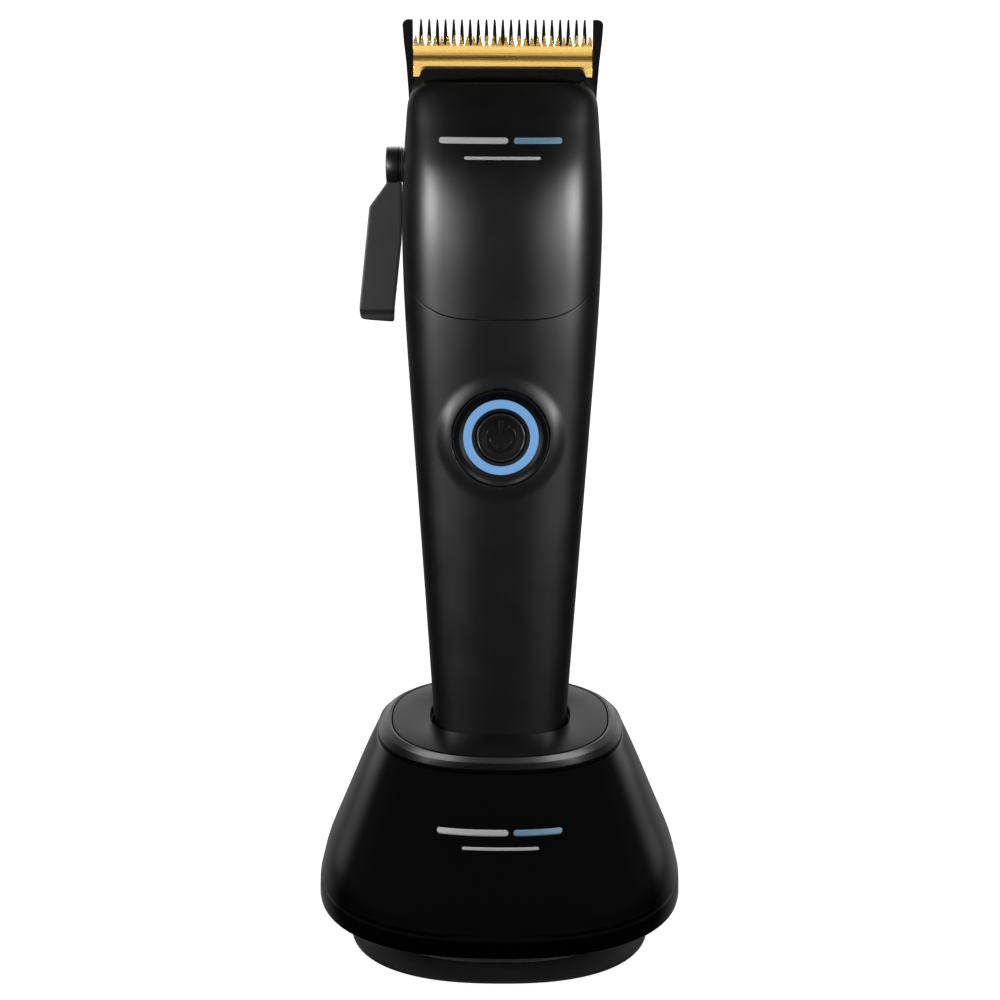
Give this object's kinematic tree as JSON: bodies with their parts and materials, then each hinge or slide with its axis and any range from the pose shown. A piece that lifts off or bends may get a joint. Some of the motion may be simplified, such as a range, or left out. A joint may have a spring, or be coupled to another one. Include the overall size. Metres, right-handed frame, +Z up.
{
  "type": "hair clipper",
  "caption": "Cordless hair clipper with a toothed cutting head, side taper lever and lit power switch, standing in a weighted charging stand it lifts out of.",
  "frame": {"origin": "centre of the stand's footprint, on the face it rests on", "axes": "+Z up, -Y to the front with the switch, -X to the side with the taper lever; the clipper leans back by 10 degrees towards +Y"},
  "size_m": [0.0854, 0.0828, 0.2139],
  "materials": {
    "shell_satin": "satin soft-touch black",
    "stand_gloss": "polished black",
    "rim_semi": "semi-gloss black",
    "plate_satin": "satin black",
    "foot_black": "fine matt black",
    "pad_rubber": "matt",
    "inner_plastic": "moulded",
    "white_plastic": "acetal",
    "steel": "plain",
    "ballast": "plain",
    "gold_blade": "titanium-nitride gold",
    "black_blade": "black carbon coating",
    "contact_gold": "plated",
    "board_green": "solder mask",
    "cell_wrap": "shrink sleeve",
    "lever_black": "satin black",
    "ring_light": "lit diffuser",
    "button_black": "satin black",
    "bezel_black": "dished semi-gloss",
    "copper": "lacquered winding"
  },
  "bodies": {
    "stand": {"base_pad": "pad_rubber", "stand_base": "foot_black", "ballast_plate": "ballast", "base_screws": "steel", "stand_shell": "stand_gloss", "stand_rim": "rim_semi", "stand_top_plate": "plate_satin", "stand_frame": "inner_plastic", "socket_cup": "foot_black", "contact_block": "inner_plastic", "contact_springs": "steel", "charge_board": "board_green", "dc_inlet": "inner_plastic"},
    "pins": {"contact_pins": "contact_gold"},
    "clipper": {"front_housing": "shell_satin", "rear_housing": "shell_satin", "head_cover": "shell_satin", "tail_cap": "foot_black", "charging_contacts": "contact_gold", "chassis": "inner_plastic", "battery_cell": "cell_wrap", "battery_holder": "inner_plastic", "circuit_board": "board_green", "tact_switch": "steel", "switch_bezel": "bezel_black", "light_ring": "ring_light", "motor_can": "steel", "motor_bracket": "inner_plastic", "motor_screws": "steel", "lever_bush": "foot_black", "housing_screws": "steel"},
    "button": {"power_button": "button_black"},
    "rotor": {"motor_armature": "copper", "motor_shaft": "steel", "motor_eccentric": "white_plastic"},
    "cutter": {"drive_fork": "white_plastic", "cutter_guide": "foot_black", "cutter_blade": "gold_blade"},
    "comb_slide": {"comb_blade": "black_blade", "blade_carrier": "inner_plastic", "blade_screws": "steel", "tension_spring": "steel"},
    "lever": {"lever_shaft": "steel", "lever_washer": "lever_black", "taper_lever": "lever_black", "lever_screw": "steel"}
  },
  "joints": [
    {"name": "clipper_lift", "type": "slide", "parent": "stand", "child": "clipper", "axis": [0, 0.1736, 0.9848], "range_m": [0, 0.04]},
    {"name": "contact_pin_travel", "type": "slide", "parent": "stand", "child": "pins", "axis": [0, 0.1736, 0.9848], "range_m": [-0.001, 0], "stiffness_N_per_m": 300, "springref_m": 0.0005, "deforming": ["contact_springs"]},
    {"name": "power_button_press", "type": "slide", "parent": "clipper", "child": "button", "axis": [0, 0.9848, -0.1736], "range_m": [0, 0.0005], "stiffness_N_per_m": 600, "springref_m": -0.0004},
    {"name": "motor_spin", "type": "hinge", "parent": "clipper", "child": "rotor", "pos_m": [0, 0.01892, 0.14381], "axis": [0, 0.1736, 0.9848], "continuous": true},
    {"name": "cutter_slide", "type": "slide", "parent": "clipper", "child": "cutter", "axis": [1, 0, 0], "range_m": [-0.0012, 0.0012]},
    {"name": "taper_lever_turn", "type": "hinge", "parent": "clipper", "child": "lever", "pos_m": [-0.02, 0.02969, 0.17897], "axis": [1, 0, 0], "range_deg": [0, 40]},
    {"name": "comb_blade_slide", "type": "slide", "parent": "clipper", "child": "comb_slide", "axis": [0, -0.0349, 0.9994], "range_m": [-0.0028, 0]}
  ],
  "couplings": [
    {"joint": "taper_lever_turn", "follows": "comb_blade_slide", "rad_per_m": -248.93}
  ]
}
